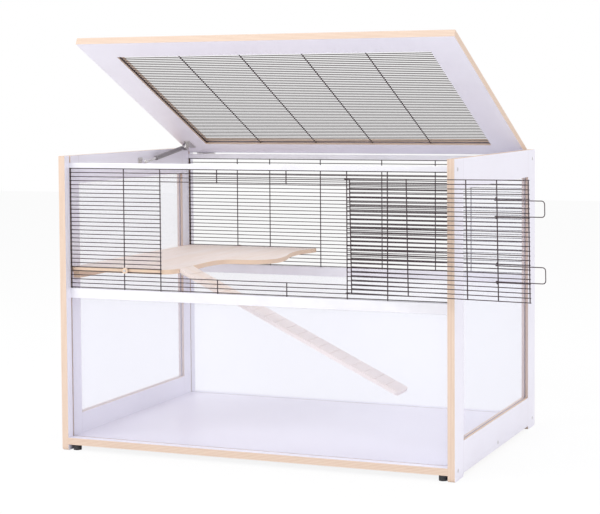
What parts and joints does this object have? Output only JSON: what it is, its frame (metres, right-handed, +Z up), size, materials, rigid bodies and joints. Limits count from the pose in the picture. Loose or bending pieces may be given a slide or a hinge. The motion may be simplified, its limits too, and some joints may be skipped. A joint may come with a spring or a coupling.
{
  "type": "rodent cage",
  "caption": "Free-standing rodent cage with plywood sides, wire mesh, clear lower panes, a hinged mesh lid on a gas strut, a wire door, a shelf and a ramp.",
  "frame": {"origin": "on the ground, the middle of the left front stile's foot", "axes": "+X to the viewer's right along the front, +Y from the front to the rear, +Z up"},
  "size_m": [1.1085, 0.7337, 0.906],
  "materials": {
    "laminated_plywood": "white laminated birch plywood, satin",
    "bare_birch": "bare birch plywood, matt",
    "clamp_wood": "turned beech, matt",
    "clear_pane": "clear acrylic, polished",
    "rail_metal": "satin anodised",
    "wire": "black powder coated wire",
    "strut_paint": "dark grey enamel",
    "steel": "zinc plated",
    "glide": "black plastic glides"
  },
  "bodies": {
    "cage": {"floor_board": "laminated_plywood", "front_clamp_bolt": "steel", "front_clamp_disc": "clamp_wood", "front_lower_pane": "clear_pane", "front_mesh_header": "wire", "front_mesh_left": "wire", "front_mesh_right": "wire", "front_mesh_sill": "wire", "front_mid_rail": "rail_metal", "front_top_rail": "rail_metal", "left_bottom_rail": "laminated_plywood", "left_front_glide": "glide", "left_front_stile": "laminated_plywood", "left_hinge_fixed_leaf": "steel", "left_hinge_pin": "steel", "left_rear_glide": "glide", "left_rear_stile": "laminated_plywood", "left_top_rail": "laminated_plywood", "left_window": "clear_pane", "ramp_hinge_pin": "steel", "ramp_hinge_shelf_leaf": "steel", "rear_clamp_bolt": "steel", "rear_clamp_disc": "clamp_wood", "rear_lower_pane": "clear_pane", "rear_mesh": "wire", "rear_mid_rail": "rail_metal", "rear_top_rail": "rail_metal", "right_bottom_rail": "laminated_plywood", "right_front_glide": "glide", "right_front_stile": "laminated_plywood", "right_hinge_fixed_leaf": "steel", "right_hinge_pin": "steel", "right_rear_glide": "glide", "right_rear_stile": "laminated_plywood", "right_top_rail": "laminated_plywood", "right_window": "clear_pane", "shelf": "bare_birch", "shelf_batten": "bare_birch", "strut_frame_bracket": "steel"},
    "lid": {"left_hinge_lid_leaf": "steel", "lid_front_rail": "laminated_plywood", "lid_left_stile": "laminated_plywood", "lid_mesh": "wire", "lid_rear_rail": "laminated_plywood", "lid_right_stile": "laminated_plywood", "right_hinge_lid_leaf": "steel", "strut_lid_bracket": "steel"},
    "door": {"door_mesh": "wire"},
    "upper_latch": {"upper_latch": "wire"},
    "lower_latch": {"lower_latch": "wire"},
    "strut_rod": {"strut_rod": "steel"},
    "strut_cylinder": {"strut_cylinder": "strut_paint"},
    "ramp": {"ramp": "bare_birch", "ramp_hinge_ramp_leaf": "steel"}
  },
  "joints": [
    {"name": "lid_hinge", "type": "hinge", "parent": "cage", "child": "lid", "pos_m": [0.4425, 0.597, 0.637], "axis": [-1, 0, 0], "range_deg": [-24.35, 0]},
    {"name": "strut_swing", "type": "hinge", "parent": "cage", "child": "strut_rod", "pos_m": [0.0205, 0.3215, 0.6215], "axis": [1, 0, 0], "range_deg": [-8, 1]},
    {"name": "strut_stroke", "type": "slide", "parent": "strut_rod", "child": "strut_cylinder", "axis": [0, 0.9907, 0.1362], "range_m": [-0.004, 0.001]},
    {"name": "door_hinge", "type": "hinge", "parent": "cage", "child": "door", "pos_m": [0.6565, -0.009, 0.4876], "axis": [-0.0087, 0, 1], "range_deg": [-166, 0]},
    {"name": "upper_latch_slide", "type": "slide", "parent": "door", "child": "upper_latch", "axis": [0.9701, -0.2419, 0.0172], "range_m": [-0.032, 0]},
    {"name": "lower_latch_slide", "type": "slide", "parent": "door", "child": "lower_latch", "axis": [0.9701, -0.2419, 0.0172], "range_m": [-0.032, 0]},
    {"name": "ramp_hinge", "type": "hinge", "parent": "cage", "child": "ramp", "pos_m": [0.2528, 0.065, 0.3898], "axis": [0, 1, 0], "range_deg": [0, 14]}
  ],
  "couplings": [
    {"joint": "strut_swing", "follows": "lid_hinge", "ratio": 0.28749},
    {"joint": "strut_stroke", "follows": "lid_hinge", "m_per_rad": 0.0055121}
  ]
}
